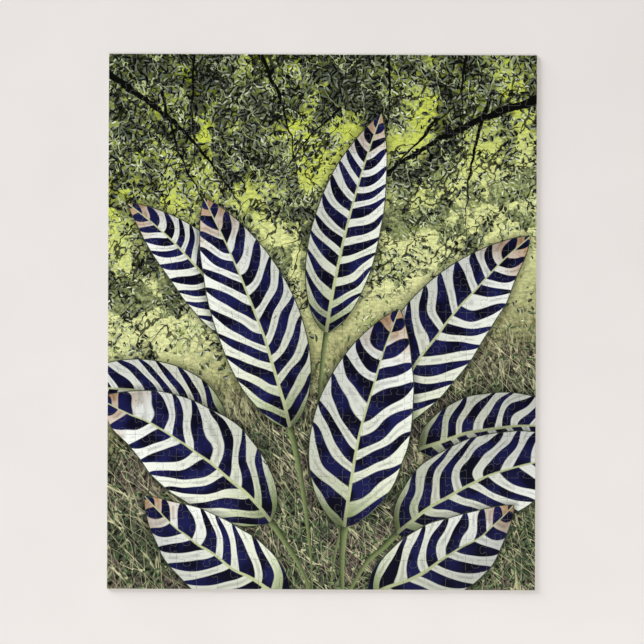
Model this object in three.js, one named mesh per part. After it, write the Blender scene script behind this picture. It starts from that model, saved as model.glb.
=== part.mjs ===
// An assembled jigsaw puzzle of 500 die-cut cardboard pieces, 16 x 20 inches, lying flat with its picture up.
//
// Units are millimetres. X runs along the short side, Y along the long side towards the top of the picture, and
// +Z up. The origin is the middle of the underside.
//
// The sheet is cut along nearly straight lines, and each side of a piece has one knob. Each mesh is a section of
// the sheet that follows the real cuts: the four corner pieces stand alone, the border is in runs of up to six
// pieces, and the inside is in blocks of up to six by six pieces.

import * as THREE from "three";

// The sheet
const SHEET_WIDTH = 406.4; // 16 inches
const SHEET_HEIGHT = 508; // 20 inches
const BOARD_THICKNESS = 2;

// The grid of pieces: the inner ones are square, and the border ones are wider and fill the sheet
const PIECE_COLUMNS = 20;
const PIECE_ROWS = 25;
const INNER_PITCH = 19.65;
const CORNER_WANDER = 0.5; // how far a meeting point of four pieces may lie from the regular grid, each way
const SECTION_SPAN = 6; // pieces along a section's side
const SECTION_GAP = 0.3; // between two sections, so that the solids never touch

// A knob, in millimetres from the middle of its side: x along the side, y out of the piece
const NECK = { x: 2.15, y: 1.4 }; // half the neck's width where the head begins, and its height
const HEAD_ARM = { x: 5.9, y: 6.9 }; // the control arm from there that rounds the head
const NECK_ARM_SHARE = 0.25; // how much of that arm reaches back below the neck
const KNOB_SPREAD = 0.07; // how much larger or smaller a knob may be than these sizes
const KNOB_SHIFT = 0.8; // the most that a knob lies off the middle of its side
const HEAD_LEAN = 0.5; // the most that a head leans to one side
const SIDE_BOW = 0.35; // the most that a side bows between its corner and its knob
const BOW_PLACE = 0.2; // where it bows most, as a share of the side
const FLANK_STEPS = [0.62, 1]; // where each curve is sampled, from 0 to 1: from the corner to the neck,
const HEAD_STEPS = [0.2, 0.4, 0.6, 0.8, 1]; // round the head,
const RETURN_STEPS = [0.38, 1]; // and from the neck to the next corner

// The print's mean colours, from the foot of the picture to its top, as a share of the rows
const PRINT_ZONES = [
  { upTo: 0.3, color: 0x77734f },
  { upTo: 0.72, color: 0x8f9858 },
  { upTo: 1, color: 0x55663a },
];
const PRINT_ROUGHNESS = 0.5;

// Positions of the straight cuts along one direction, the sheet's two edges included.
function gridLines(count, sheetLength) {
  const borderPitch = (sheetLength - (count - 2) * INNER_PITCH) / 2;
  const lines = [-sheetLength / 2];
  for (let i = 1; i < count; i++)
    lines.push(-sheetLength / 2 + borderPitch + (i - 1) * INNER_PITCH);
  lines.push(sheetLength / 2);
  return lines;
}

const columnLines = gridLines(PIECE_COLUMNS, SHEET_WIDTH);
const rowLines = gridLines(PIECE_ROWS, SHEET_HEIGHT);

// A repeatable number from -1 to 1 for the trait numbered `trait` of the grid place (i, j): the fraction left of a
// sine wave that is scaled up so far that neighbouring places have nothing in common.
const SCATTER = { column: 12.9898, row: 78.233, trait: 37.719, scale: 43758.5453 };
function scatter(i, j, trait) {
  const wave = Math.sin(i * SCATTER.column + j * SCATTER.row + trait * SCATTER.trait) * SCATTER.scale;
  return 2 * (wave - Math.floor(wave)) - 1;
}

// What each numbered trait decides: two for a crossing, and six for each of the two cuts that start there.
const TRAITS = { acrossSheet: 1, upSheet: 2, firstOfCut: 10, perCut: 10 };

// The point where the pieces around grid crossing (i, j) meet. On the sheet's edge it only slides along the edge.
function crossing(i, j) {
  const onSide = i === 0 || i === PIECE_COLUMNS;
  const onEnd = j === 0 || j === PIECE_ROWS;
  return new THREE.Vector2(
    columnLines[i] + (onSide ? 0 : CORNER_WANDER * scatter(i, j, TRAITS.acrossSheet)),
    rowLines[j] + (onEnd ? 0 : CORNER_WANDER * scatter(i, j, TRAITS.upSheet)),
  );
}

// Points of the cut from crossing (i, j) to the next one: to the right for direction 0, and up for direction 1.
function cutPoints(i, j, direction) {
  const from = crossing(i, j);
  const to = direction === 0 ? crossing(i + 1, j) : crossing(i, j + 1);
  const trait = (n) => scatter(i, j, TRAITS.firstOfCut + TRAITS.perCut * direction + n);
  const length = from.distanceTo(to);
  const along = to.clone().sub(from).normalize();
  const across = new THREE.Vector2(-along.y, along.x).multiplyScalar(trait(0) < 0 ? -1 : 1);
  const at = (x, y) => from.clone().addScaledVector(along, x).addScaledVector(across, y);

  const size = 1 + KNOB_SPREAD * trait(1);
  const middle = length / 2 + KNOB_SHIFT * trait(2);
  const lean = HEAD_LEAN * trait(3);
  const knob = (x, y) => at(middle + size * x, size * y);
  // The head's control arm starts at the neck and its other end lies below the neck, so the outline is smooth.
  const arm = (side, share) =>
    knob(side * (NECK.x + share * HEAD_ARM.x) + share * lean, NECK.y + share * HEAD_ARM.y);
  const curves = [
    [from, at(BOW_PLACE * length, SIDE_BOW * trait(4)), arm(-1, -NECK_ARM_SHARE), arm(-1, 0)],
    [arm(-1, 0), arm(-1, 1), arm(1, 1), arm(1, 0)],
    [arm(1, 0), arm(1, -NECK_ARM_SHARE), at((1 - BOW_PLACE) * length, SIDE_BOW * trait(5)), to],
  ].map((controls) => new THREE.CubicBezierCurve(...controls));
  const steps = [FLANK_STEPS, HEAD_STEPS, RETURN_STEPS];
  return [from, ...curves.flatMap((curve, n) => steps[n].map((t) => curve.getPoint(t)))];
}

// One side of a section, as points and whether each stretch after a point is a cut or the sheet's own edge.
function sideOfSection(places, direction, isSheetEdge, reversed) {
  let points = [];
  if (isSheetEdge) {
    const [firstI, firstJ] = places[0];
    const [lastI, lastJ] = places[places.length - 1];
    const end = direction === 0 ? crossing(lastI + 1, lastJ) : crossing(lastI, lastJ + 1);
    points = [crossing(firstI, firstJ), end];
  } else {
    for (const [i, j] of places) {
      const cut = cutPoints(i, j, direction);
      points.push(...(points.length ? cut.slice(1) : cut));
    }
  }
  if (reversed) points.reverse();
  return points.slice(0, -1).map((point) => ({ point, inset: isSheetEdge ? 0 : SECTION_GAP / 2 }));
}

// The closed outline, counterclockwise, of the pieces in columns i0 to i1 and rows j0 to j1, the ends left out.
function sectionOutline(i0, i1, j0, j1) {
  const columns = Array.from({ length: i1 - i0 }, (_, n) => i0 + n);
  const rows = Array.from({ length: j1 - j0 }, (_, n) => j0 + n);
  const corners = [
    ...sideOfSection(columns.map((i) => [i, j0]), 0, j0 === 0, false),
    ...sideOfSection(rows.map((j) => [i1, j]), 1, i1 === PIECE_COLUMNS, false),
    ...sideOfSection(columns.map((i) => [i, j1]), 0, j1 === PIECE_ROWS, true),
    ...sideOfSection(rows.map((j) => [i0, j]), 1, i0 === 0, true),
  ];
  return corners.map(({ point, inset }, n) => {
    const before = corners[(n + corners.length - 1) % corners.length];
    const after = corners[(n + 1) % corners.length];
    return movedInwards(before.point, point, after.point, before.inset, inset);
  });
}

// `point` moved so that the stretches before and after it move inwards by their own insets.
const STRAIGHT_ON = 0.02; // the sine of the turn below which two stretches count as one line
function movedInwards(before, point, after, insetBefore, insetAfter) {
  const into = point.clone().sub(before).normalize();
  const out = after.clone().sub(point).normalize();
  const turn = into.cross(out);
  if (Math.abs(turn) < STRAIGHT_ON) {
    const inwards = new THREE.Vector2(-out.y, out.x);
    return point.clone().addScaledVector(inwards, insetAfter);
  }
  return point
    .clone()
    .addScaledVector(out, insetBefore / turn)
    .addScaledVector(into, -insetAfter / turn);
}

// Where the sections start and end, in pieces: the border row alone, then runs of SECTION_SPAN, then the border.
function sectionBreaks(count) {
  const breaks = [0];
  for (let at = 1; at < count - 1; at += SECTION_SPAN) breaks.push(at);
  return [...breaks, count - 1, count];
}

// A name such as corner_top_left, edge_left_2 or inner_row_3_column_1.
function sectionName(column, row, lastColumn, lastRow) {
  const side = column === 0 ? "left" : column === lastColumn ? "right" : "";
  const end = row === 0 ? "bottom" : row === lastRow ? "top" : "";
  if (side && end) return `corner_${end}_${side}`;
  if (side) return `edge_${side}_${row}`;
  if (end) return `edge_${end}_${column}`;
  return `inner_row_${row}_column_${column}`;
}

function printMaterial(j0, j1) {
  const height = (j0 + j1) / 2 / PIECE_ROWS;
  const zone = PRINT_ZONES.find(({ upTo }) => height <= upTo);
  return new THREE.MeshStandardMaterial({
    color: zone.color,
    roughness: PRINT_ROUGHNESS,
    metalness: 0,
  });
}

const puzzle = new THREE.Group();
puzzle.name = "jigsaw_puzzle";

const columnBreaks = sectionBreaks(PIECE_COLUMNS);
const rowBreaks = sectionBreaks(PIECE_ROWS);
for (let row = 0; row < rowBreaks.length - 1; row++) {
  for (let column = 0; column < columnBreaks.length - 1; column++) {
    const [i0, i1] = [columnBreaks[column], columnBreaks[column + 1]];
    const [j0, j1] = [rowBreaks[row], rowBreaks[row + 1]];
    const outline = new THREE.Shape(sectionOutline(i0, i1, j0, j1));
    const board = new THREE.ExtrudeGeometry(outline, {
      depth: BOARD_THICKNESS,
      bevelEnabled: false,
      steps: 1,
    });
    const section = new THREE.Mesh(board, printMaterial(j0, j1));
    section.name = sectionName(column, row, columnBreaks.length - 2, rowBreaks.length - 2);
    puzzle.add(section);
  }
}

export default puzzle;
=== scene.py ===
# %% [markdown]
# # An assembled jigsaw puzzle
#
# The object is a sheet of grey board, 406 by 508 millimetres and 2 thick, with a printed picture
# glued on top. A press has cut it into 500 interlocking pieces, which lie put together on a pale
# table with the picture up. The frame holds the sheet in 30 plain sections. This script cuts each
# section into its single pieces, prints a picture of striped leaves across all of them, and
# lights them softly from the upper left.
#
# Everything is in metres, in the frame's own axes: X to the right of the picture, Y to its top
# and Z up. Only the patterns of the finishes count in millimetres.

# %% Load the frame
import math

import bpy
import numpy as np
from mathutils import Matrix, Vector


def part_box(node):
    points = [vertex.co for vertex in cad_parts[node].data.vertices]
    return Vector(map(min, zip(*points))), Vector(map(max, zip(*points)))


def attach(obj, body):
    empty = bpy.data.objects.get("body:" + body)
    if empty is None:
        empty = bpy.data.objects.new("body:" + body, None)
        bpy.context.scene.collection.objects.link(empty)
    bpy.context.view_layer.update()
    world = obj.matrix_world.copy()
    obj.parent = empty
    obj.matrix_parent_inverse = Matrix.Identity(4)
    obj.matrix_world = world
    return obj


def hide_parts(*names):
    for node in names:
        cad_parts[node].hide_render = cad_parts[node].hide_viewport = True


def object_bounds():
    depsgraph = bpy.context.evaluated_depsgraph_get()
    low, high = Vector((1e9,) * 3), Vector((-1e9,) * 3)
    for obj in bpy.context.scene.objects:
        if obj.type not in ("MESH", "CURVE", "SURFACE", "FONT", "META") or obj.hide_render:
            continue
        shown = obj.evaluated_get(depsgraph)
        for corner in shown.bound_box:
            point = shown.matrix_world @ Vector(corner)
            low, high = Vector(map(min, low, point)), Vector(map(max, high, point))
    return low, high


MM = 0.001

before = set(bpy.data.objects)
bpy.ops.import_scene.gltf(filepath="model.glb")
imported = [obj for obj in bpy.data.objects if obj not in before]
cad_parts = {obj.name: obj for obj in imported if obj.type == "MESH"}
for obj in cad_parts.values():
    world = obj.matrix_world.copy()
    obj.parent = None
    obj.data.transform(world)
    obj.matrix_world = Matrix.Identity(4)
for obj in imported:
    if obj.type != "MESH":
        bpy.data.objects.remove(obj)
frame_low, frame_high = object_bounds()
sheet_width, sheet_height, board_thickness = frame_high - frame_low
print(f"sheet {sheet_width / MM:.1f} x {sheet_height / MM:.1f} x {board_thickness / MM:.1f} mm,",
      f"{len(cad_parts)} sections")

# %% [markdown]
# ## Sums on shader sockets
#
# A print is colour worked out from place. Such sums could be drawn by hand as webs of Math nodes,
# but they read far better as Python. A small class wraps one output socket of a material. Adding
# or multiplying wrapped sockets adds the Math node that does it, so `1 - mask` is a line of code
# and also a node. Any other node comes from `add`.

# %% A wrapped socket
class Socket:
    """One output socket of a material's nodes, which takes part in Python sums."""

    def __init__(self, tree, socket):
        self.tree = tree
        self.socket = socket

    def add(self, kind, settings=None, inputs=None, output=0):
        """Add a node: first its settings, then values or links for its inputs."""
        node = self.tree.nodes.new("ShaderNode" + kind)
        settings = dict(settings or {})
        stops = settings.pop("stops", [])
        for name, value in settings.items():
            setattr(node, name, value)
        if stops:
            ramp = node.color_ramp
            while len(ramp.elements) < len(stops):
                ramp.elements.new(0.5)
            for element, (place, colour) in zip(ramp.elements, stops):
                element.position = place
                element.color = (*colour, 1)
        for name, value in (inputs or {}).items():
            if isinstance(value, Socket):
                self.tree.links.new(value.socket, node.inputs[name])
            else:
                node.inputs[name].default_value = value
        return type(self)(self.tree, node.outputs[output])

    def also(self, output):
        """Another output of the same node."""
        return type(self)(self.tree, self.socket.node.outputs[output])

    def math(self, operation, *values):
        return self.add("Math", {"operation": operation}, dict(enumerate([self, *values])))

    def __add__(self, other):
        return self.math("ADD", other)

    def __radd__(self, other):
        return self.math("ADD", other)

    def __sub__(self, other):
        return self.math("SUBTRACT", other)

    def __rsub__(self, other):
        return self.add("Math", {"operation": "SUBTRACT"}, {0: other, 1: self})

    def __mul__(self, other):
        return self.math("MULTIPLY", other)

    def __rmul__(self, other):
        return self.math("MULTIPLY", other)

    def __truediv__(self, other):
        return self.math("DIVIDE", other)

    def __pow__(self, other):
        return self.math("POWER", other)

    def __abs__(self):
        return self.math("ABSOLUTE")


# %% [markdown]
# Three kinds of node come back in every finish: a smooth step, which makes a mask of a value, a
# blend of two colours, and a sum on a vector. They get short names, in a class built on the first.

# %% Steps and blends
class Wire(Socket):
    """A wrapped socket with the steps and blends that the finishes are made of."""

    def step(self, low, high, start=0.0, end=1.0):
        """Go smoothly from start to end as the value goes from low to high."""
        return self.add("MapRange", {"interpolation_type": "SMOOTHSTEP", "clamp": False}, {
            "Value": self, "From Min": low, "From Max": high, "To Min": start, "To Max": end})

    def between(self, start, end):
        """The colour that lies this share of the way from one colour to another."""
        return self.add("Mix", {"data_type": "RGBA"}, {0: self, 6: start, 7: end}, output=2)

    def between_vectors(self, start, end):
        """The same for two vectors."""
        return self.add("Mix", {"data_type": "VECTOR"}, {0: self, 4: start, 5: end}, output=1)

    def blend(self, other, share):
        """This colour with a share of another over it."""
        return self.add("Mix", {"data_type": "RGBA"}, {0: share, 6: self, 7: other}, output=2)

    def darken(self, share):
        """This colour with a share of black in it. A share below zero makes it lighter."""
        return self.add("Mix", {"data_type": "RGBA", "clamp_factor": False},
                        {0: share, 6: self, 7: (0, 0, 0, 1)}, output=2)

    def shade(self, factor):
        """This colour times a factor."""
        return self.darken(1 - factor)

    def vector(self, operation, other=None, output=0):
        """A Vector Math node on this vector, with another vector if the operation takes two."""
        values = {0: self} if other is None else {0: self, 1: other}
        return self.add("VectorMath", {"operation": operation}, values, output)

# %% [markdown]
# ## The picture
#
# Such sheets often show a scene from nature. This one shows a plant with boldly striped leaves
# before a thicket, with a bright meadow behind and dark foliage above. An image file could be laid
# on the sheet instead, but a drawn one needs no file and stays sharp at any size. It is drawn in
# layers, the farthest first, each from sums on the place in millimetres, so it runs on across
# every cut. A colour is given as on a screen, from 0 to 255, and turned into the linear light
# that shaders count in.

# %% Inks and places
def ink(red, green, blue):
    """A screen colour from 0 to 255 as linear light, by the curve that screens share."""
    return tuple(((c / 255 + 0.055) / 1.055) ** 2.4 if c > 10 else c / 255 / 12.92
                 for c in (red, green, blue))


def paint(red, green, blue):
    return (*ink(red, green, blue), 1)


def noise(spot, size, detail=2.0, roughness=0.5):
    """Cloudy values from 0 to 1, with clouds about `size` millimetres across."""
    values = {"Vector": spot, "Scale": 1 / size, "Detail": detail, "Roughness": roughness}
    return spot.add("TexNoise", {"noise_dimensions": "2D"}, values)


def moved(spot, x=0.0, y=0.0, turn=0.0, size=(1, 1)):
    """The place as seen from (x, y), turned by `turn` degrees, in units of `size` millimetres."""
    values = {"Vector": spot, "Location": (x, y, 0), "Rotation": (0, 0, math.radians(turn)),
              "Scale": (*size, 1)}
    return spot.add("Mapping", {"vector_type": "TEXTURE"}, values)


def parts(spot):
    x = spot.add("SeparateXYZ", inputs={"Vector": spot})
    return x, x.also("Y")


# %% [markdown]
# ### The lie of the land
#
# Most of the picture depends on how high up the slope a place lies: bare earth and dry grass at
# the foot, the sunlit meadow in the middle and fresh green at the top. A colour ramp holds that
# order. Its height wavers with a broad cloudy noise, so no zone ends in a straight line.

# %% The slope
SLOPE = 0.24  # how much the ground climbs to the right
ZONE_WAVER = 0.12  # how far the clouds shift the zones up or down, as a share of the sheet


def lie_of_land(spot):
    """Broad clouds, how far uphill a place lies, and the same as a share of the sheet."""
    x, y = parts(spot)
    clouds = noise(spot, 60, detail=3)
    uphill = y - x * SLOPE
    return clouds, uphill, uphill * (MM / sheet_height) + 0.5 + (clouds - 0.5) * ZONE_WAVER


# %% The meadow and its bushes
GROUND = (  # how high on the sheet, and the ink there
    (0.00, (78, 74, 66)),  # bare earth
    (0.30, (106, 102, 82)),  # dry litter
    (0.42, (164, 164, 112)),  # dry grass
    (0.54, (226, 229, 164)),  # the meadow in the sun
    (0.66, (220, 226, 150)),
    (0.80, (202, 213, 98)),  # fresh grass
    (1.00, (190, 206, 56)),  # leaves with the sun behind them
)
BUSH_LINE = 74  # how far uphill the bushes stand, in millimetres from the sheet's middle
BUSH_THINNING = 0.0055  # how much they thin out with each millimetre away from that line
BUSH_GAPS = 0.38  # how much of the line is left open


def draw_meadow(spot, uphill, height):
    stops = [(place, ink(*colour)) for place, colour in GROUND]
    picture = height.add("ValToRGB", {"stops": stops}, {"Fac": height})
    rugged = noise(spot, 30, detail=4, roughness=0.62)
    bushes = (rugged - abs(uphill - BUSH_LINE) * BUSH_THINNING - BUSH_GAPS).step(-0.01, 0.04)
    leafage = noise(spot, 4, detail=3, roughness=0.7).step(0.35, 0.65)
    picture = picture.blend(leafage.between(paint(84, 92, 62), paint(158, 166, 112)), bushes)
    tufts = noise(moved(spot, size=(1, 0.5)), 5, detail=3, roughness=0.65)
    return picture.shade(tufts.step(0.25, 0.75, 0.74, 1.26))


# %% [markdown]
# ### Foliage and twigs
#
# A leaf of the trees above is no more than a speck on the sheet, and there are thousands. A
# Voronoi texture deals the sheet into cells, and each cell gets one leaf, turned by the cell's own
# random number, so a whole layer of leaves costs about thirty nodes. Five layers, each smaller,
# paler and lower than the one in front of it, give the depth. Fine twigs are the lines where a
# noise is halfway between its extremes, and the large bare ones are tapered arcs.

# %% Small leaves
CELL_IN_HALF_LEAVES = 1.7  # how wide a cell is, in half lengths of its leaf


def small_leaves(spot, size, slim, share):
    """Leaves about `size` millimetres long, one to a cell and each turned its own way.

    `share` says how many cells have one. Gives the leaves' mask, the light on their two halves,
    and a random tone for each.
    """
    cell = spot.add("TexVoronoi", {"voronoi_dimensions": "2D"},
                    {"Vector": spot, "Scale": 1 / size}, output="Position")
    tone = cell.add("SeparateColor", inputs={"Color": cell.also("Color")})
    turned = spot.add("VectorRotate", {"rotation_type": "Z_AXIS"}, {
        "Vector": spot.vector("SUBTRACT", cell), "Angle": tone.also("Green") * (2 * math.pi)})
    along, side = parts(turned)
    half_width = (1 - (along * (CELL_IN_HALF_LEAVES / size)) ** 2) * (slim * size)
    mask = (half_width - abs(side)).step(-0.3, 0.5)
    return mask * (share - tone.also("Blue")).step(-0.02, 0.02), side.step(-0.4, 0.4), tone


# %% Foliage
FOLIAGE = (  # leaf size, slimness, how far down it hangs, and mass, dark and bright inks
    (4.6, 0.32, 0.30, (176, 188, 108), (114, 128, 64), (252, 254, 222)),
    (5.4, 0.30, 0.20, (94, 108, 56), (38, 48, 24), (242, 248, 212)),
    (6.0, 0.28, 0.08, (42, 51, 28), (11, 16, 6), (212, 222, 192)),
    (7.0, 0.26, 0.00, (20, 26, 12), (4, 6, 2), (160, 172, 148)),
    (8.5, 0.24, -0.08, (6, 8, 2), (1, 2, 1), (110, 122, 102)),
)
FOLIAGE_HEIGHT = 0.66  # how high on the sheet it begins to close in
CLUMPING, CLUMP_GAPS = 3.0, 1.74  # how sharply it gathers into clumps, and the room between them


def draw_foliage(picture, spot, height):
    over = (height - FOLIAGE_HEIGHT) * 3.0
    for size, slim, reach, mass, dark, bright in FOLIAGE:
        place = moved(spot, x=size * 17, y=size * 9, turn=size * 9)
        thick = noise(place, 38, detail=3, roughness=0.62) * CLUMPING - CLUMP_GAPS
        thick = thick + over * 0.4 + reach * 0.5
        picture = picture.blend(paint(*mass), thick.step(0.05, 0.35, 0, 0.55))
        mask, half, tone = small_leaves(place, size, slim, thick * 4 + 0.35)
        picture = picture.blend((tone * half).between(paint(*dark), paint(*bright)), mask)
    return picture


# %% Fine twigs
TWIG_WEBS = (  # direction, size of the web, half a line's thickness and ink; one is sunlit
    (-35, 52, 0.009, (12, 12, 7)),
    (20, 64, 0.009, (12, 12, 7)),
    (-70, 58, 0.007, (196, 208, 150)),
    (55, 76, 0.014, (8, 8, 5)),
)


def draw_twig_webs(picture, spot, height):
    for turn, size, width, colour in TWIG_WEBS:
        place = moved(spot, x=size * 3, turn=turn, size=(1, 0.55))
        off_line = abs(noise(place, size, detail=4, roughness=0.52) - 0.5)
        twigs = off_line.step(width, width / 2) * height.step(0.48, 0.56, 0, 0.9)
        picture = picture.blend(paint(*colour), twigs)
    return picture


# %% Arcs
def arc(spot, base, heading, reach, bend):
    """How far along an arc a place is, from 0 to 1, and how far to its inner side, in mm."""
    radius = reach / math.radians(abs(bend))
    heading = math.radians(heading)
    inwards = heading + math.copysign(math.pi / 2, bend)
    centre = (base[0] + radius * math.cos(inwards), base[1] + radius * math.sin(inwards), 0)
    off_centre = spot.vector("SUBTRACT", centre)
    outwards = off_centre.vector(
        "DOT_PRODUCT", (-math.cos(inwards), -math.sin(inwards), 0), "Value")
    onwards = off_centre.vector("DOT_PRODUCT", (math.cos(heading), math.sin(heading), 0), "Value")
    turn = onwards.math("ARCTAN2", outwards)
    return turn * (radius / reach), radius - off_centre.vector("LENGTH", output="Value")


def twig(spot, base, heading, reach, bend, width):
    """The mask of a twig that thins out towards its end, and the distance from its middle."""
    run, side = arc(spot, base, heading, reach, bend)
    half_width = (1 - run) * (run.step(-0.001, 0.001) * width / 2)
    return (half_width - abs(side)).step(-0.25, 0.35), side


# %% Bare twigs
BARE_TWIGS = (  # base, heading, reach, bend and width of those that hang into the light
    ((208, 215), 196, 270, 34, 8),
    ((110, 196), 236, 130, -30, 3.2),
    ((160, 212), 250, 150, 24, 4),
    ((-208, 240), -28, 210, -36, 7),
    ((-150, 222), -80, 150, 28, 3.6),
    ((20, 205), 215, 110, 38, 2.6),
    ((-60, 262), -60, 150, -30, 4.4),
    ((-118, 262), 262, 150, 22, 3.2),
    ((64, 262), 276, 120, -20, 3),
    ((140, 262), 258, 130, 26, 2.8),
)
KINK_LENGTH, KINK_REACH = 14, 5  # how often a twig kinks and how far, in millimetres


def draw_bare_twigs(picture, spot):
    kinks = spot.add("CombineXYZ", inputs={
        "X": noise(spot, KINK_LENGTH, detail=1) * KINK_REACH,
        "Y": noise(moved(spot, x=99), KINK_LENGTH, detail=1) * KINK_REACH})
    bent = spot.vector("ADD", kinks)
    for shape in BARE_TWIGS:
        mask, _ = twig(bent, *shape)
        picture = picture.blend(paint(7, 7, 4), mask)
    return picture


# %% [markdown]
# ### The dry thicket
#
# Below the meadow the ground is a tangle of dry stems. A rough noise gives its lights and deep
# gaps, and long thin blades lie over it in six directions. Each set of blades is one noise,
# stretched until its halfway lines run nearly straight.

# %% Tangle and blades
BLADES = (  # degrees from upright, width, length, thickness of the line and ink
    (24, 1.5, 60, 0.022, (38, 34, 34)),
    (-38, 1.2, 44, 0.018, (144, 144, 110)),
    (8, 1.3, 70, 0.018, (190, 188, 146)),
    (-14, 1.6, 80, 0.018, (26, 30, 22)),
    (33, 1.0, 50, 0.016, (166, 164, 126)),
    (52, 1.1, 60, 0.014, (218, 214, 170)),
)
THICKET_HEIGHT = 0.50  # how high on the sheet the last stems stand


def draw_thicket(picture, spot, clouds, height):
    under = (THICKET_HEIGHT - height) * 3.2
    tangle = noise(spot, 4.5, detail=3, roughness=0.68)
    mossy = clouds.step(0.4, 0.6).between(paint(84, 76, 68), paint(70, 80, 58))
    picture = picture.blend(mossy, under.step(0.1, 0.8))
    gloom = tangle.step(0.33, 0.69, 0.02, 1.9) * clouds.step(0.3, 0.7, 1.15, 0.8)
    picture = picture.shade(1 + (gloom - 1) * under.step(0, 0.6))
    for turn, width, reach, line, colour in BLADES:
        value = noise(moved(spot, turn=turn, size=(width * 9, reach)), 1, detail=1.5)
        blades = abs(value - 0.5).step(line, 0)
        picture = picture.blend(paint(*colour), blades * under.step(0, 0.5))
    mask, half, tone = small_leaves(moved(spot, x=31, turn=12), 6.5, 0.2, under * 0.5)
    return picture.blend((tone * half).between(paint(56, 74, 48), paint(140, 160, 108)), mask)


# %% [markdown]
# ### The striped leaves
#
# A leaf is laid along an arc. Drawing every leaf in full, one over the other, would take most of
# the picture's nodes. But only the front one shows at any place, so each leaf first just hands on
# its measures where it lies over the ones before it. Its bands, veins and shine are then drawn
# once, from whichever measures came out on top.

# %% Where the leaves lie
LEAVES = (  # base, heading, reach, half width, bend and band spacing; the farthest first
    ((-62, -30), 118, 190, 30, 26, 17),
    ((4, -10), 82, 215, 33, -12, 18),
    ((-92, -95), 150, 165, 32, 40, 18),
    ((-30, -100), 104, 235, 41, 14, 23),
    ((52, -105), 64, 240, 41, -24, 23),
    ((92, -120), 24, 170, 34, -38, 19),
    ((-48, -190), 130, 205, 44, 30, 26),
    ((22, -195), 84, 215, 47, -16, 28),
    ((72, -200), 40, 200, 43, -34, 25),
    ((-30, -262), 158, 170, 38, -26, 23),
    ((45, -262), 22, 165, 38, 22, 23),
)
ROUND_BASE, ROUND_TIP = 0.62, 0.85  # a leaf's outline: the lower, the blunter is that end
WIDEST = 0.42  # where along the leaf that makes it widest
SHADOW_REACH = 9.0  # how far a leaf shades what lies behind it, in millimetres
LIT_HEADING = 125.0  # the heading of a leaf that faces the light in full
print(f"{len(LEAVES)} large leaves")


# %% Which leaf is in front
def lay_leaf(front, spot, base, heading, reach, half_width, bend, stripe):
    """Lay a leaf over those in front so far.

    `front` holds, for the leaf that shows: where on it a place is, as the share of its length,
    the distance from its midrib and the width there; its length, band spacing and dullness, all
    0 off the leaves; and the shade on it.
    """
    place, kind, dimness = front
    run, side = arc(spot, base, heading, reach, bend)
    full_width = WIDEST ** ROUND_BASE * (1 - WIDEST) ** ROUND_TIP
    margin = run ** ROUND_BASE * (1 - run) ** ROUND_TIP * (half_width / full_width)
    beyond = (abs(run - 0.5) * reach - reach / 2).math("MAXIMUM", 0.0)
    inside = margin - abs(side) - beyond
    behind = inside.math("LESS_THAN", 0.0)
    here = run.add("CombineXYZ", inputs={0: run, 1: side, 2: margin})
    dullness = 0.15 * (1 - math.cos(math.radians(heading - LIT_HEADING)))
    dimness = dimness.math("MAXIMUM", inside.step(-SHADOW_REACH, 1, 0, 0.55)) * behind
    return (behind.between_vectors(here, place),
            behind.between_vectors((reach, stripe, dullness), kind), dimness)


# %% Bands, veins and edging
STRIPE_LEAN = 0.45  # how far forward a side vein runs for each millimetre outwards
STRIPE_CURL = 0.5  # how much more it curls forward at the margin
SIDE_SHIFT = 1.3  # how far each side's bands are shifted, in radians of a band
VEINS = 7  # fine veins to a band


def draw_leaf(place, kind, spot, drift):
    """The colour of the leaf in front."""
    run, side = parts(place)
    reach, stripe = parts(kind)
    margin, out = run.also("Z"), abs(side)
    across, inside = out / margin, margin - out

    phase = (run * reach - (across * STRIPE_CURL + STRIPE_LEAN) * out) / stripe * (2 * math.pi)
    phase = phase + drift + side.math("SIGN") * SIDE_SHIFT
    wave = phase.math("SINE")
    patches = noise(spot, 16, detail=2).step(0.4, 0.6)
    light = run.add("ValToRGB", {"stops": [
        (0.02, ink(164, 182, 116)), (0.26, ink(235, 239, 217)), (0.80, ink(246, 249, 242)),
        (0.96, ink(190, 154, 118))]}, {"Fac": run + patches * 0.04})
    veins = wave.step(-0.86, -1, 0, 0.3) * patches - (phase * VEINS).math("SINE") * 0.04
    light = light.darken(veins)
    navy = noise(spot, 26, detail=3).step(0.35, 0.65).between(paint(8, 8, 30), paint(28, 30, 80))
    surface = light.blend(navy, (wave - across ** 4 * 1.2).step(-0.43, -0.17))
    surface = surface.blend(paint(206, 214, 164), (run * 1.3 + out).step(2.1, 1.3))
    surface = surface.blend(paint(52, 66, 40), inside.step(1.3, 0.5))
    rounding = (side / margin).step(-1, 1, 0.24, -0.08) + run.step(-0.02, 0.16, 0.5, 0)
    return surface.darken(rounding + reach.also("Z"))


# %% The whole plant
STALKS = (  # base, heading, reach, bend and width of the stalks that can be seen
    ((4, -10), 262, 172, 12, 5.2),
    ((-30, -100), 284, 188, -14, 6.6),
    ((52, -105), 244, 190, 24, 6.6),
    ((-48, -190), 310, 120, -30, 7),
    ((22, -195), 264, 100, 16, 7.6),
    ((72, -200), 220, 120, 34, 7),
)
BAND_DRIFT = 6.0  # how far the bands wander from their regular places, in radians
SWAY = 0.006  # how much the same drift bends the leaves and stalks


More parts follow.
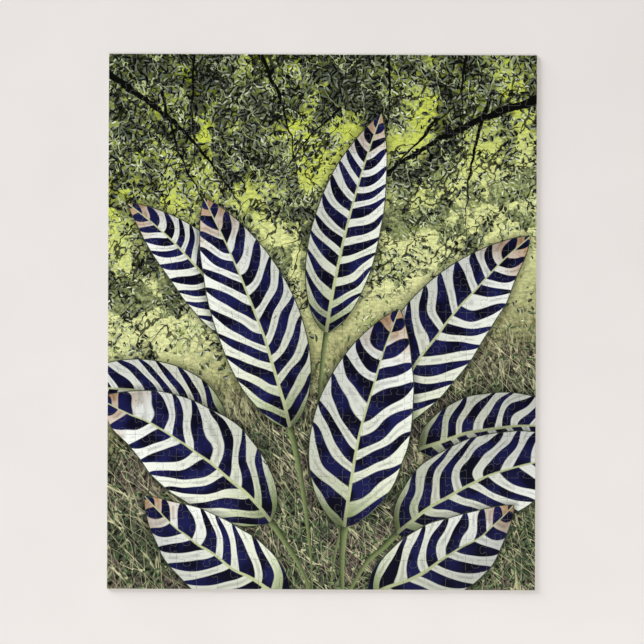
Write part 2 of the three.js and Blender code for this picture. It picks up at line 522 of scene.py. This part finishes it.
def draw_plant(picture, spot):
    drift = (noise(spot, 42, detail=1, roughness=0.3) - 0.5) * BAND_DRIFT
    swayed = spot.add("VectorMath", {"operation": "SCALE"},
                      {0: spot, "Scale": drift * SWAY + 1})
    for shape in STALKS:
        mask, side = twig(swayed, *shape)
        width = shape[-1]
        rounding = side.step(-width / 2, width / 3)
        picture = picture.blend(rounding.between(paint(48, 58, 34), paint(132, 146, 94)), mask)
    front = drift.add("CombineXYZ"), drift.add("CombineXYZ"), drift * 0
    for leaf in LEAVES:
        front = lay_leaf(front, swayed, *leaf)
    place, kind, dimness = front
    surface = draw_leaf(place, kind, spot, drift)
    picture = picture.blend(surface, parts(kind)[0].math("GREATER_THAN", 0.0))
    return picture.darken(dimness)


# %% All layers
def draw_picture(spot):
    """The print's colour at a place given in millimetres from the middle of the sheet."""
    clouds, uphill, height = lie_of_land(spot)
    picture = draw_meadow(spot, uphill, height)
    picture = draw_foliage(picture, spot, height)
    picture = draw_twig_webs(picture, spot, height)
    picture = draw_thicket(picture, spot, clouds, height)
    picture = draw_bare_twigs(picture, spot)
    return draw_plant(picture, spot)


# %% [markdown]
# ## The cuts
#
# A press cuts the whole sheet at once, with thin steel blades bent along every line of the grid.
# Each side of a piece has one knob, a little different every time, so that only the right piece
# fits. The lines could be drawn by hand, but they follow a rule, so a formula bends them: the same
# one that shaped the frame's sections, with the same scattered numbers. A point on the sheet is
# one complex number here, across + up * 1j, because turning by a right angle is then only a
# product with 1j.

# %% The grid of pieces
COLUMNS, ROWS = 20, 25
INNER_PITCH = 19.65 * MM  # the inner pieces are square, the border ones wider to fill the sheet
CORNER_WANDER = 0.5 * MM  # how far a meeting point of four pieces may lie from the regular grid


def grid_lines(count, sheet_length):
    border_pitch = (sheet_length - (count - 2) * INNER_PITCH) / 2
    inner = [-sheet_length / 2 + border_pitch + n * INNER_PITCH for n in range(count - 1)]
    return [-sheet_length / 2, *inner, sheet_length / 2]


column_lines = grid_lines(COLUMNS, sheet_width)
row_lines = grid_lines(ROWS, sheet_height)
border_width = column_lines[1] - column_lines[0]
print(f"{COLUMNS * ROWS} pieces, the border ones {border_width / MM:.1f} mm wide")


def scatter(i, j, trait):
    """A repeatable number from -1 to 1 for one trait of the grid place (i, j).

    Its factors are those that scattered the cuts of the frame's sections.
    """
    wave = math.sin(i * 12.9898 + j * 78.233 + trait * 37.719) * 43758.5453
    return 2 * (wave - math.floor(wave)) - 1


def crossing(i, j):
    """Where four pieces meet. On the sheet's edge the point only slides along it."""
    x = column_lines[i] + (CORNER_WANDER * scatter(i, j, 1) if 0 < i < COLUMNS else 0)
    y = row_lines[j] + (CORNER_WANDER * scatter(i, j, 2) if 0 < j < ROWS else 0)
    return complex(x, y)


# %% The shape of a knob
NECK = complex(2.15, 1.4) * MM  # half the neck's width where the head begins, and its height
HEAD_ARM = complex(5.9, 6.9) * MM  # the control arm from there that rounds the head
NECK_ARM_SHARE = 0.25  # how much of that arm reaches back below the neck
KNOB_SPREAD = 0.07  # how much larger or smaller a knob may be than these sizes
KNOB_SHIFT = 0.8 * MM  # the most that a knob lies off the middle of its side
HEAD_LEAN = 0.5 * MM  # the most that a head leans to one side
SIDE_BOW = 0.35 * MM  # the most that a side bows between its corner and its knob
BOW_PLACE = 0.2  # where it bows most, as a share of the side
# Where each of a cut's three curves gets its points, as shares of the curve
FLANK_POINTS, HEAD_POINTS, RETURN_POINTS = (0.35, 0.7, 1), np.arange(1, 13) / 12, (0.25, 0.6)


def bezier(start, arm, other_arm, end, places):
    t = np.array(places)
    return (start * (1 - t) ** 3 + 3 * arm * t * (1 - t) ** 2
            + 3 * other_arm * t * t * (1 - t) + end * t ** 3)


# %% One cut with its knob
def cut(i, j, step):
    """Points of the cut that starts at a crossing, its end left out.

    `step` is 1 for a cut to the right and 1j for one upwards.
    """
    start = crossing(i, j)
    end = crossing(i + int(step.real), j + int(step.imag))
    if (step == 1 and j in (0, ROWS)) or (step == 1j and i in (0, COLUMNS)):
        return np.array([start])  # the sheet's own straight edge
    traits = [scatter(i, j, 10 + 10 * int(step.imag) + n) for n in range(6)]
    reach = abs(end - start)
    along = (end - start) / reach
    across = along * (-1j if traits[0] < 0 else 1j)
    knob_size = 1 + KNOB_SPREAD * traits[1]
    middle = reach / 2 + KNOB_SHIFT * traits[2]

    def arm(side, share):
        x = side * (NECK.real + share * HEAD_ARM.real) + share * HEAD_LEAN * traits[3]
        y = NECK.imag + share * HEAD_ARM.imag
        return start + along * (middle + knob_size * x) + across * knob_size * y

    bow = start + along * BOW_PLACE * reach + across * SIDE_BOW * traits[4]
    other_bow = start + along * (1 - BOW_PLACE) * reach + across * SIDE_BOW * traits[5]
    return np.concatenate([
        [start],
        bezier(start, bow, arm(-1, -NECK_ARM_SHARE), arm(-1, 0), FLANK_POINTS),
        bezier(arm(-1, 0), arm(-1, 1), arm(1, 1), arm(1, 0), HEAD_POINTS),
        bezier(arm(1, 0), arm(1, -NECK_ARM_SHARE), other_bow, end, RETURN_POINTS),
    ])


# %% [markdown]
# ## A blank for each section
#
# The blades leave a hair's breadth between two pieces. Every outline is therefore the four cuts
# around its piece, moved inwards by half that gap. A blank is one flat mesh with a face for each
# piece of a frame section. It also carries what the later steps need at every point: which way is
# inwards, how far along the outline it lies, which piece it belongs to and where that piece's
# middle is.

# %% Piece outlines
BLADE_GAP = 0.17 * MM
STRAIGHT = 0.9998  # the cosine of a bend from which on a corner counts as straight


def outline(i, j):
    """The outline of one piece, counterclockwise, and whether each stretch of it is a cut."""
    upper, left = cut(i, j + 1, 1), cut(i, j, 1j)
    sides = [cut(i, j, 1), cut(i + 1, j, 1j),
             np.append(upper[1:], crossing(i + 1, j + 1))[::-1],
             np.append(left[1:], crossing(i, j + 1))[::-1]]
    is_cut = [np.full(len(side), inside) for side, inside in
              zip(sides, (j > 0, i < COLUMNS - 1, j < ROWS - 1, i > 0))]
    return np.concatenate(sides), np.concatenate(is_cut)


def inwards(points, shift):
    """How each point moves when every stretch moves inwards by its own shift."""
    ahead = np.roll(points, -1) - points
    normal = 1j * ahead / abs(ahead)
    before, shift_before = np.roll(normal, 1), np.roll(shift, 1)
    turn = (before * normal.conj()).real
    straight = turn > STRAIGHT
    spread = np.where(straight, 1, 1 - turn * turn)
    mitre = (shift_before - shift * turn) * before + (shift - shift_before * turn) * normal
    return np.where(straight, shift * normal, mitre / spread)


# %% One blank
def make_blank(name, places):
    points, inward, along, number, middle, faces = [], [], [], [], [], []
    for index, (i, j) in enumerate(places):
        path, is_cut = outline(i, j)
        path = path + inwards(path, is_cut * BLADE_GAP / 2)
        steps = abs(np.roll(path, -1) - path)
        faces.append(range(len(points), len(points) + len(path)))
        points.extend(path)
        inward.extend(inwards(path, np.ones(len(path))))
        along.extend((np.cumsum(steps) - steps) / steps.sum())
        number.extend([index] * len(path))
        middle.extend([(crossing(i, j) + crossing(i + 1, j + 1)) / 2] * len(path))
    mesh = bpy.data.meshes.new(name)
    mesh.from_pydata([(p.real, p.imag, 0) for p in points], [], faces)
    for label, values in (("inward", inward), ("middle", middle)):
        flat = [value for p in values for value in (p.real, p.imag, 0)]
        mesh.attributes.new(label, "FLOAT_VECTOR", "POINT").data.foreach_set("vector", flat)
    for label, values in (("along", along), ("number", number)):
        mesh.attributes.new(label, "FLOAT", "POINT").data.foreach_set("value", values)
    blank = bpy.data.objects.new(name, mesh)
    bpy.context.scene.collection.objects.link(blank)
    return blank


# %% A blank for each of the frame's sections
boxes = {name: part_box(name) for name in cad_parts}
places_of = {name: [] for name in boxes}
for i in range(COLUMNS):
    for j in range(ROWS):
        middle = (crossing(i, j) + crossing(i + 1, j + 1)) / 2
        for name, (low, high) in boxes.items():
            if low.x < middle.real < high.x and low.y < middle.imag < high.y:
                places_of[name].append((i, j))
blanks = {name: make_blank(f"{name}_pieces", places) for name, places in places_of.items()}
print(f"{len(blanks)} blanks with {sum(len(b.data.polygons) for b in blanks.values())} outlines")

# %% [markdown]
# ## The die press
#
# Every piece gets the same treatment, so Geometry Nodes do it for a whole blank at once. The tree
# raises each outline to the board's thickness. The blade drags the printed paper down with it, so
# the upper rim ends in a small round: the tree extrudes the top face again in short steps and
# draws it inwards each time. The rim's share is kept as an attribute, for the paint that wears
# there. No piece lies perfectly level, so each top is also tipped a hair, by a random amount that
# stays the same in every run.

# %% Node helpers
class Press:
    """A geometry node tree with named inputs."""

    def __init__(self, name, sizes):
        self.tree = bpy.data.node_groups.new(name, "GeometryNodeTree")
        interface = self.tree.interface
        interface.new_socket("Geometry", in_out="INPUT", socket_type="NodeSocketGeometry")
        for label, (kind, value) in sizes.items():
            socket = interface.new_socket(label, in_out="INPUT", socket_type="NodeSocket" + kind)
            socket.default_value = value
        interface.new_socket("Geometry", in_out="OUTPUT", socket_type="NodeSocketGeometry")
        self.inputs = self.tree.nodes.new("NodeGroupInput").outputs

    def add(self, kind, settings=None, inputs=None):
        """Add a node: first its settings, then values or links for its inputs."""
        node = self.tree.nodes.new(kind)
        for name, value in (settings or {}).items():
            setattr(node, name, value)
        for name, value in (inputs or {}).items():
            if isinstance(value, bpy.types.NodeSocket):
                self.tree.links.new(value, node.inputs[name])
            else:
                node.inputs[name].default_value = value
        return node.outputs

    def math(self, operation, *values):
        return self.add("ShaderNodeMath", {"operation": operation}, dict(enumerate(values)))[0]

    def attribute(self, name, kind):
        return self.add("GeometryNodeInputNamedAttribute", {"data_type": kind}, {"Name": name})[0]

    def raise_faces(self, geometry, selection, height):
        upwards = self.add("ShaderNodeCombineXYZ", inputs={"Z": height})[0]
        return self.add("GeometryNodeExtrudeMesh", {"mode": "FACES"}, {
            "Mesh": geometry, "Selection": selection, "Offset": upwards, "Offset Scale": 1.0,
            "Individual": False})

    def keep(self, geometry, name, value, selection):
        """Store a number at the selected points."""
        return self.add(
            "GeometryNodeStoreNamedAttribute", {"data_type": "FLOAT", "domain": "POINT"},
            {"Geometry": geometry, "Name": name, "Value": value, "Selection": selection})[0]

    def smooth(self, geometry, domain, selection, smooth):
        return self.add("GeometryNodeSetShadeSmooth", {"domain": domain}, {
            "Geometry": geometry, "Selection": selection, "Shade Smooth": smooth})["Geometry"]


# %% Walls and rounded rims
RIM_STEPS = ((0.08, 0.45), (0.3, 0.8), (1.0, 1.0))  # shares of the rim's width and of its drop

press = Press("die press", {
    "Thickness": ("Float", 0.002),
    "Rim width": ("Float", 0.0003),
    "Rim drop": ("Float", 0.0001),
    "Tilt": ("Float", 0.001),
    "Seed": ("Int", 1),
    "Print": ("Material", None),
    "Board": ("Material", None),
    "Backing": ("Material", None),
})
thickness, rim_width, rim_drop = (press.inputs[n] for n in ("Thickness", "Rim width", "Rim drop"))

blank = press.inputs["Geometry"]
underside = press.add("GeometryNodeFlipFaces", inputs={"Mesh": blank})["Mesh"]
wall = press.raise_faces(blank, True, press.math("SUBTRACT", thickness, rim_drop))
body, top = press.keep(wall["Mesh"], "rim", 1.0, True), wall["Top"]

width_before, drop_before = 0.0, 0.0
for width_share, drop_share in RIM_STEPS:
    rise = press.math("MULTIPLY", rim_drop, drop_share - drop_before)
    rim = press.raise_faces(body, top, rise)
    reach = press.math("MULTIPLY", rim_width, width_share - width_before)
    pull = press.add("ShaderNodeVectorMath", {"operation": "SCALE"}, {
        0: press.attribute("inward", "FLOAT_VECTOR"), "Scale": reach})[0]
    drawn = press.add("GeometryNodeSetPosition", inputs={
        "Geometry": rim["Mesh"], "Selection": rim["Top"], "Offset": pull})["Geometry"]
    body, top = press.keep(drawn, "rim", 1 - width_share, rim["Top"]), rim["Top"]
    width_before, drop_before = width_share, drop_share

# %% Closed shells with sharp edges
WELD = 0.001 * MM
SHARP_BEND = 0.7  # radians

body = press.smooth(body, "FACE", True, True)
body = press.smooth(body, "FACE", top, False)
joined = press.tree.nodes.new("GeometryNodeJoinGeometry")
for part in (underside, body):
    press.tree.links.new(part, joined.inputs[0])
welded = press.add("GeometryNodeMergeByDistance", inputs={
    "Geometry": joined.outputs[0], "Distance": WELD})["Geometry"]
bend = press.math("GREATER_THAN", press.add("GeometryNodeInputMeshEdgeAngle")[0], SHARP_BEND)
creased = press.smooth(welded, "EDGE", bend, False)

# %% A hair's tilt
place = press.add("GeometryNodeInputPosition")[0]
from_middle = press.add("ShaderNodeVectorMath", {"operation": "SUBTRACT"}, {
    0: place, 1: press.attribute("middle", "FLOAT_VECTOR")})[0]
leaning = press.add("FunctionNodeRandomValue", {"data_type": "FLOAT_VECTOR"}, {
    "Min": (-1, -1, 0), "Max": (1, 1, 0), "ID": press.add("GeometryNodeInputMeshIsland")[0],
    "Seed": press.inputs["Seed"]})[0]
tip = press.add("ShaderNodeVectorMath", {"operation": "DOT_PRODUCT"},
                {0: from_middle, 1: leaning})["Value"]
height = press.add("ShaderNodeSeparateXYZ", inputs={0: place})["Z"]
up_share = press.math("DIVIDE", height, thickness)
tip = press.math("MULTIPLY", press.math("MULTIPLY", tip, press.inputs["Tilt"]), up_share)
settled = press.add("GeometryNodeSetPosition", inputs={
    "Geometry": creased, "Offset": press.add("ShaderNodeCombineXYZ", inputs={"Z": tip})[0]})[0]

# %% Plain mesh with its materials
FACES_UP, FACES_DOWN = 0.2, -0.5  # the Z of a face's normal: above is print, below is back

facing = press.add("ShaderNodeSeparateXYZ", inputs={
    0: press.add("GeometryNodeInputNormal")[0]})["Z"]
pieces = press.add("GeometryNodeRealizeInstances", inputs={"Geometry": settled})["Geometry"]
for label, faces in (
    ("Board", True),
    ("Backing", press.math("LESS_THAN", facing, FACES_DOWN)),
    ("Print", press.math("GREATER_THAN", facing, FACES_UP)),
):
    pieces = press.add("GeometryNodeSetMaterial", inputs={
        "Geometry": pieces, "Selection": faces, "Material": press.inputs[label]})["Geometry"]
press.tree.links.new(pieces, press.tree.nodes.new("NodeGroupOutput").inputs[0])
print(f"the die press has {len(press.tree.nodes)} nodes")

# %% [markdown]
# ## The finishes
#
# A piece shows three finishes: the print on top, the cut board on its walls and bare paper below.
# Each is a material of its own, which reads the object's coordinates in millimetres, so picture
# and grain run on from piece to piece. They end in the same few nodes, which one helper adds.

# %% Material helpers
def new_finish(name):
    """A material, and the place on the object in millimetres."""
    material = bpy.data.materials.new(name)
    material.use_nodes = True
    tree = material.node_tree
    tree.nodes.clear()
    place = Wire(tree, tree.nodes.new("ShaderNodeTexCoord").outputs["Object"])
    return material, place.add("Mapping", {"vector_type": "TEXTURE"}, {
        "Vector": place, "Scale": (MM, MM, MM)})


def set_surface(material, colour, roughness, height, depth, gloss):
    """Give the material its surface. `height` runs from 0 to 1, over bumps `depth` mm deep."""
    bump = height.add("Bump", inputs={
        "Height": height, "Distance": depth * MM, "Strength": 1.0})
    surface = height.add("BsdfPrincipled", inputs={
        "Base Color": colour, "Roughness": roughness, "Normal": bump, "Specular IOR Level": gloss})
    output = material.node_tree.nodes.new("ShaderNodeOutputMaterial")
    material.node_tree.links.new(surface.socket, output.inputs["Surface"])
    print(f"{material.name}: {len(material.node_tree.nodes)} nodes")


# %% [markdown]
# ### The print
#
# The printed sheet is coated paper with a satin varnish: a soft gloss over a very fine grain.
# Along the cuts the blade has bruised the paper. Worn edges could be found by a node that looks
# for sharp corners, but the press has already left each point's share of the rim, so a little
# pale fibre shows just there.

# %% The print
def print_finish():
    material, spot = new_finish("satin_print")
    picture = draw_picture(spot)
    rim = spot.add("Attribute", {"attribute_name": "rim"}, output="Fac")
    fibre = noise(spot, 0.9, detail=2)
    bruise = rim.step(0.1, 1.0) * fibre.step(0.3, 0.7, 0.03, 0.17)
    picture = picture.blend(paint(210, 211, 212), bruise)
    grain = noise(spot, 0.5, detail=2)
    roughness = grain.step(0.2, 0.8, 0.42, 0.52) + rim * 0.15
    set_surface(material, picture, roughness, grain, depth=0.004, gloss=0.055)
    return material


# %% [markdown]
# ### The cut wall and the back
#
# The cut wall shows how the board is made: paper, a core of grey pulp in layers, and paper again.
# Height alone tells them apart, and a noise squeezed upright gives the layers. The back is plain
# recycled paper, with short fibres, soft clouds and scattered darker flecks.

# %% The cut wall
UPPER_LINER, LOWER_LINER = 1.71, 0.14  # where the core ends, in millimetres above the table


def board_finish():
    material, spot = new_finish("grey_board_wall")
    height = parts(spot)[0].also("Z")
    pulp = spot.add("TexNoise", {"noise_dimensions": "3D"}, {
        "Vector": spot.vector("MULTIPLY", (1.2, 1.2, 9)), "Scale": 1.0, "Detail": 3.0})
    colour = pulp.add("ValToRGB", {"stops": [
        (0.30, ink(126, 121, 112)), (0.50, ink(163, 158, 147)), (0.72, ink(194, 189, 177))]},
        {"Fac": pulp})
    colour = colour.blend(paint(226, 224, 214), (height - UPPER_LINER).step(-0.02, 0.02))
    colour = colour.blend(paint(206, 200, 186), (LOWER_LINER - height).step(-0.02, 0.02))
    set_surface(material, colour, 0.9, pulp, depth=0.05, gloss=0.2)
    return material


# %% The back
def backing_finish():
    material, spot = new_finish("recycled_paper_back")
    fibre = noise(moved(spot, turn=20, size=(1.4, 0.35)), 1, detail=3)
    clouds = noise(spot, 22, detail=3)
    flecks = (noise(spot, 1.3, detail=0) - 0.5).step(0.22, 0.26)
    colour = clouds.add("ValToRGB", {"stops": [
        (0.25, ink(176, 170, 158)), (0.75, ink(196, 190, 177))]}, {"Fac": clouds})
    colour = colour.shade(fibre.step(0.25, 0.75, 0.93, 1.05))
    colour = colour.blend(paint(120, 112, 100), flecks * 0.5)
    set_surface(material, colour, 0.85, fibre, depth=0.02, gloss=0.2)
    return material


finishes = {"Print": print_finish(), "Board": board_finish(), "Backing": backing_finish()}

# %% [markdown]
# ## Pressing the pieces
#
# Now each blank goes through the press, and what comes out is kept as a plain mesh. It also gets
# a flat map that the finishes can be painted onto. A ready-made unwrapping would lay every wall
# and rim down by itself and waste most of the map, so this one is laid out by rule: the printed
# faces lie side by side as on the table and fill the upper part, the undersides lie below them,
# and each piece's wall is a thin strip beside those.

# %% Press one blank
EASE = 0.03 * MM  # the room under the sheet's full height in which the tops may tip
sizes = {"Thickness": board_thickness - EASE, "Rim width": 0.38 * MM, "Rim drop": 0.17 * MM,
         "Tilt": 0.001, **finishes}


def pressed(blank, seed):
    modifier = blank.modifiers.new("die press", "NODES")
    modifier.node_group = press.tree
    values = {**sizes, "Seed": seed}
    for item in press.tree.interface.items_tree:
        if item.in_out == "INPUT" and item.name in values:
            modifier[item.identifier] = values[item.name]
    evaluated = blank.evaluated_get(bpy.context.evaluated_depsgraph_get())
    mesh = bpy.data.meshes.new_from_object(evaluated)
    blank.modifiers.remove(modifier)
    mesh.name = blank.name
    blank.data = mesh
    return blank


# %% The map that the finishes are painted on
PRINT_FROM = 0.36  # the printed faces fill the map from this height up
LOWER_HEIGHT = 0.34  # the height of the part below them
BACK_WIDTH = 0.48  # how much of its width the undersides take
WALLS_FROM = 0.52  # where the walls begin beside them
WALL_ROOM = 1.1  # the room for a wall's strip, in lengths of the strip
STRIP_MARGIN = 0.1  # how much of its height stays free at either side


def values_of(items, name, width=1, kind=np.float32):
    values = np.empty(len(items) * width, kind)
    items.foreach_get(name, values)
    return values.reshape(-1, width) if width > 1 else values


def lay_out(mesh):
    corner = values_of(mesh.loops, "vertex_index", kind=np.int32)
    place = values_of(mesh.vertices, "co", 3)[corner]
    faces = values_of(mesh.polygons, "loop_total", kind=np.int32)
    facing = np.repeat(values_of(mesh.polygons, "normal", 3)[:, 2], faces)
    along = values_of(mesh.attributes["along"].data, "value")[corner]
    number = values_of(mesh.attributes["number"].data, "value")[corner]

    # A strip's last stretch runs on to 1 instead of back to 0
    first = np.cumsum(faces) - faces
    reach = np.repeat(np.maximum.reduceat(along, first), faces)
    along = along + ((reach > 0.5) & (along < 0.25))

    low, high = place.min(0), place.max(0)
    share = (place - low) / (high - low)
    strip = (number + STRIP_MARGIN + (1 - 2 * STRIP_MARGIN) * share[:, 2]) / (number.max() + 1)
    kinds = [facing > FACES_UP, facing < FACES_DOWN]
    u = np.select(kinds, [share[:, 0], share[:, 0] * BACK_WIDTH],
                  WALLS_FROM + (1 - WALLS_FROM) * along / WALL_ROOM)
    v = np.select(kinds, [PRINT_FROM + (1 - PRINT_FROM) * share[:, 1],
                          LOWER_HEIGHT * share[:, 1]], LOWER_HEIGHT * strip)
    uv = mesh.uv_layers.new(name="OFBake")
    uv.uv.foreach_set("vector", np.stack([u, v], 1).astype(np.float32).ravel())


# %% All pieces
triangles = 0
for seed, (name, blank) in enumerate(blanks.items()):
    section = pressed(blank, seed)
    lay_out(section.data)
    for label in ("inward", "middle", "along", "number"):
        section.data.attributes.remove(section.data.attributes[label])
    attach(section, "root")
    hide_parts(name)
    triangles += sum(len(face.vertices) - 2 for face in section.data.polygons)
print(f"{len(blanks)} sections of single pieces, {triangles} triangles")

# %% [markdown]
# ## The table, the light and the camera
#
# The sheet lies on a plain pale table. A wide soft light stands low at the upper left, so that the
# board's edge throws a thin shadow to the right and below, and pale light from all round keeps the
# shadow open. The camera looks straight down from far enough that the sides don't lean, with the
# sheet turned a quarter of a degree, as somebody would lay it down.

# %% Table
TABLE_SIDE = 30.0  # wide enough that its edge is never seen
TABLE_DROP = 0.05 * MM  # so far below the sheet that the two faces never flicker


def make_table():
    mesh = bpy.data.meshes.new("table")
    half = TABLE_SIDE / 2
    corners = [(-half, -half), (half, -half), (half, half), (-half, half)]
    mesh.from_pydata([(x, y, -TABLE_DROP) for x, y in corners], [], [(0, 1, 2, 3)])
    table = bpy.data.objects.new("table", mesh)
    bpy.context.scene.collection.objects.link(table)
    material, spot = new_finish("table_top")
    mottle = noise(spot, 90, detail=2)
    colour = mottle.between(paint(238, 233, 229), paint(243, 238, 234))
    set_surface(material, colour, 0.7, mottle, depth=0.01, gloss=0.3)
    mesh.materials.append(material)


make_table()

# %% Lamps
def add_light(name, place, size, power, colour):
    """A round lamp at `place` that shines at the middle of the sheet."""
    light = bpy.data.lights.new(name, "AREA")
    light.shape, light.size, light.energy, light.color = "DISK", size, power, colour
    lamp = bpy.data.objects.new(name, light)
    lamp.location = place
    lamp.rotation_euler = Vector(place).to_track_quat("Z", "Y").to_euler()
    bpy.context.scene.collection.objects.link(lamp)
    print(f"{name}: {power} W from {lamp.location.length:.1f} m away")


add_light("window", place=(-4.3, 3.7, 0.98), size=3.2, power=525, colour=(0.92, 0.975, 1.04))
add_light("room", place=(0.3, -1.2, 1.8), size=1.2, power=19, colour=(1, 0.995, 0.99))

# %% Glow from all round
GLOW_STRENGTH = 0.69
HORIZON_GLOW, OVERHEAD_GLOW = (1.09, 1.037, 0.99, 1), (0.25, 0.25, 0.25, 1)

# It is bright at the horizon and dim overhead, so the varnish doesn't mirror a white sky
world = bpy.data.worlds.new("studio")
world.use_nodes = True
sky = world.node_tree.nodes["Background"]
coordinates = world.node_tree.nodes.new("ShaderNodeTexCoord")
direction = Wire(world.node_tree, coordinates.outputs["Generated"])
height = parts(direction)[0].also("Z")
glow = height.step(0.2, 1.0).between(HORIZON_GLOW, OVERHEAD_GLOW)
world.node_tree.links.new(glow.socket, sky.inputs["Color"])
sky.inputs["Strength"].default_value = GLOW_STRENGTH
bpy.context.scene.world = world
bpy.context.scene.view_settings.view_transform = "Standard"

# %% Camera
SHEET_SHARE = 0.6646  # of the view's width that the sheet takes
SHEET_TURN = 0.23  # degrees that the sheet lies askew in the view
LENS, SENSOR = 85, 36  # focal length and sensor width, both in millimetres

camera = bpy.data.objects.new("camera", bpy.data.cameras.new("camera"))
camera.data.lens, camera.data.sensor_width = LENS, SENSOR
distance = sheet_width / SHEET_SHARE * LENS / SENSOR
camera.location = (0, 0, board_thickness + distance)
camera.rotation_euler = (0, 0, math.radians(SHEET_TURN))
camera.data.clip_end = 20
bpy.context.scene.collection.objects.link(camera)
bpy.context.scene.camera = camera
print(f"camera {distance:.2f} m above the picture")
